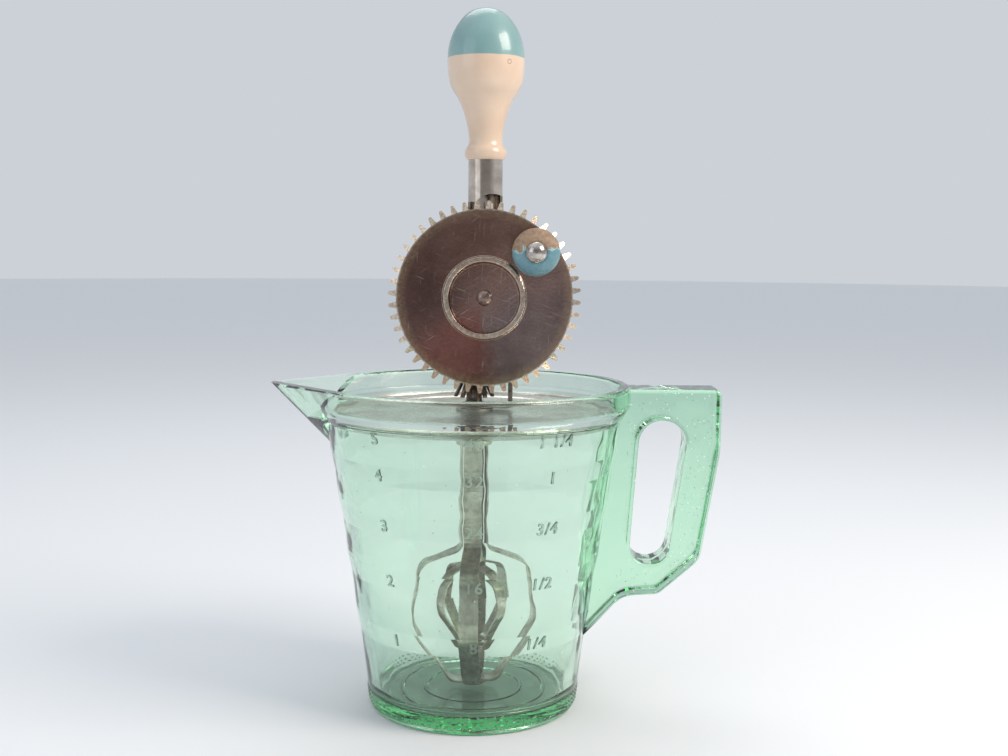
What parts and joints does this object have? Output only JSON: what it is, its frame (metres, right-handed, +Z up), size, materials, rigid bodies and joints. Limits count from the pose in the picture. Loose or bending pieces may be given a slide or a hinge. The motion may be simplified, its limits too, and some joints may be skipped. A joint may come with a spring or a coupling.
{
  "type": "hand cranked mayonnaise mixer jar",
  "caption": "Spouted glass measuring jug with a hand-cranked mixer: turned wood handle, toothed crank wheel, flat metal lid and looped strip dasher.",
  "frame": {"origin": "middle of the jug's resting face", "axes": "+Z up the jug and the spindle, +X towards the jug's handle, -Y the side that the gear wheel faces"},
  "size_m": [0.2034, 0.142, 0.3146],
  "materials": {
    "green_glass": "pressed pale green glass",
    "tinned_lid": "dull tinned sheet",
    "dull_steel": "dull plated steel",
    "nickel_tube": "bright nickel plate",
    "worn_nickel": "worn, stained nickel plate",
    "bright_rivet": "polished steel",
    "dasher_steel": "tinned strip",
    "dark_gear": "dark oiled steel",
    "copper_foot": "bare copper",
    "painted_handle": "gloss cream paint with a blue-green top",
    "painted_knob": "worn blue-green paint"
  },
  "bodies": {
    "jug": {"glass_jug": "green_glass"},
    "mixer": {"lid_pan": "tinned_lid", "lid_hub": "dull_steel", "hub_clinch_ring": "dull_steel", "bearing_bracket": "dull_steel", "upper_bush": "dull_steel", "frame_channel": "nickel_tube", "bracket_rivets": "dull_steel", "handle_grip": "painted_handle", "ferrule_nail": "dull_steel", "wheel_axle": "worn_nickel", "axle_spacer": "dull_steel", "axle_washer": "dull_steel"},
    "wheel": {"drive_wheel": "worn_nickel", "knob_stud": "bright_rivet", "knob_washer": "dull_steel"},
    "knob": {"crank_knob": "painted_knob"},
    "dasher": {"spindle": "dasher_steel", "thrust_washer": "dull_steel", "pinion": "dark_gear", "dasher_collar": "dasher_steel", "strip_band": "dasher_steel", "outer_loop_a": "dasher_steel", "outer_loop_b": "dasher_steel", "inner_loop_a": "dasher_steel", "inner_loop_b": "dasher_steel", "foot_washer": "copper_foot", "foot_rivet": "dasher_steel"}
  },
  "joints": [
    {"name": "mixer_lift", "type": "slide", "parent": "jug", "child": "mixer", "axis": [0, 0, 1], "range_m": [0, 0.15]},
    {"name": "wheel_turn", "type": "hinge", "parent": "mixer", "child": "wheel", "pos_m": [0.0045, 0, 0.1873], "axis": [0, -1, 0], "continuous": true},
    {"name": "knob_spin", "type": "hinge", "parent": "wheel", "child": "knob", "pos_m": [0.02688, 0, 0.20788], "axis": [0, -1, 0], "continuous": true},
    {"name": "dasher_spin", "type": "hinge", "parent": "mixer", "child": "dasher", "pos_m": [0, 0, 0], "axis": [0, 0, 1], "continuous": true}
  ],
  "couplings": [
    {"joint": "dasher_spin", "follows": "wheel_turn", "ratio": 4.8}
  ]
}
